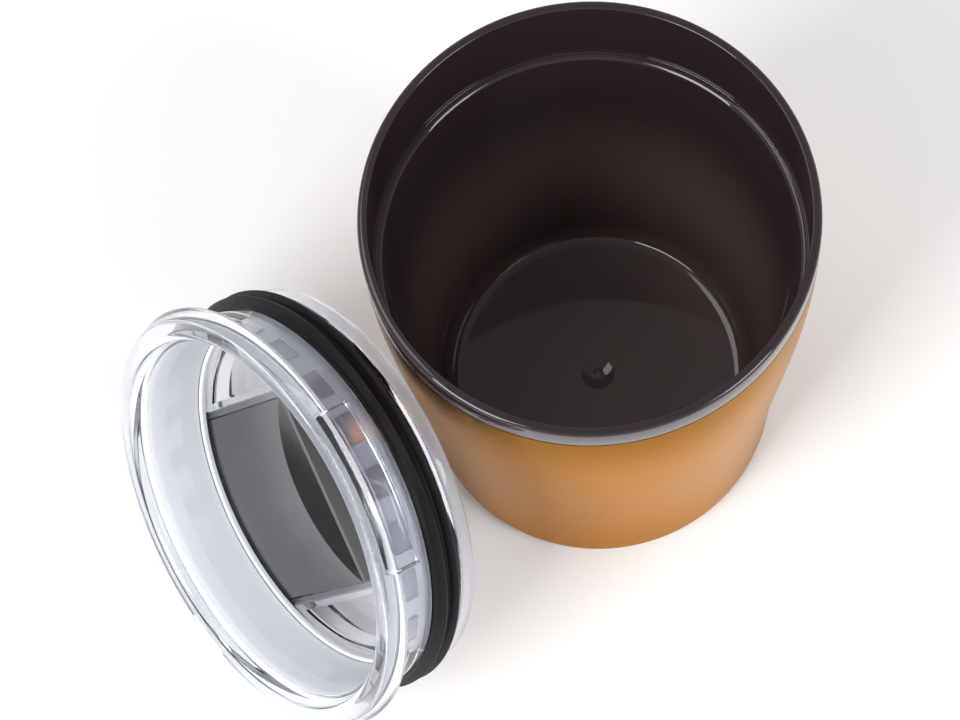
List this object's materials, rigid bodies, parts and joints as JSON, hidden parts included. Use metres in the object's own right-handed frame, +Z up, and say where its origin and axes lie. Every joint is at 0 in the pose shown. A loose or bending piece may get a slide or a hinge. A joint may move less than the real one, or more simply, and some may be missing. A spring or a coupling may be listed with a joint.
{
  "type": "insulated tumbler with slide lid",
  "caption": "Double-wall lowball tumbler with a copper-coloured steel shell, black liner and a clear press-in slide lid leaning beside it.",
  "frame": {"origin": "centre of the tumbler's flat base, on the surface it stands on", "axes": "+Z up along the tumbler's axis; the lid leans on the -X side with its own axis in the XZ plane"},
  "size_m": [0.1447, 0.0952, 0.1073],
  "materials": {
    "copper_lacquer": "satin metallic lacquer on steel",
    "bare_steel": "brushed",
    "black_plastic": "glossy, brown-black",
    "clear_plastic": "clear, polished",
    "grey_plastic": "satin dark grey",
    "black_silicone": "matte"
  },
  "bodies": {
    "tumbler": {"outer_shell": "copper_lacquer", "base_plate": "bare_steel", "inner_liner": "black_plastic", "liner_seal": "black_silicone"},
    "lid": {"lid_rim": "clear_plastic", "lid_plug": "clear_plastic", "lid_gasket": "black_silicone"},
    "slide": {"slide_closure": "grey_plastic"}
  },
  "joints": [
    {"name": "lid_lift", "type": "slide", "parent": "tumbler", "child": "lid", "axis": [-0.9171, 0, 0.3987], "range_m": [0, 0.1]},
    {"name": "slide_open", "type": "slide", "parent": "lid", "child": "slide", "axis": [0.3643, -0.4067, 0.8378], "range_m": [0, 0.0175]}
  ]
}
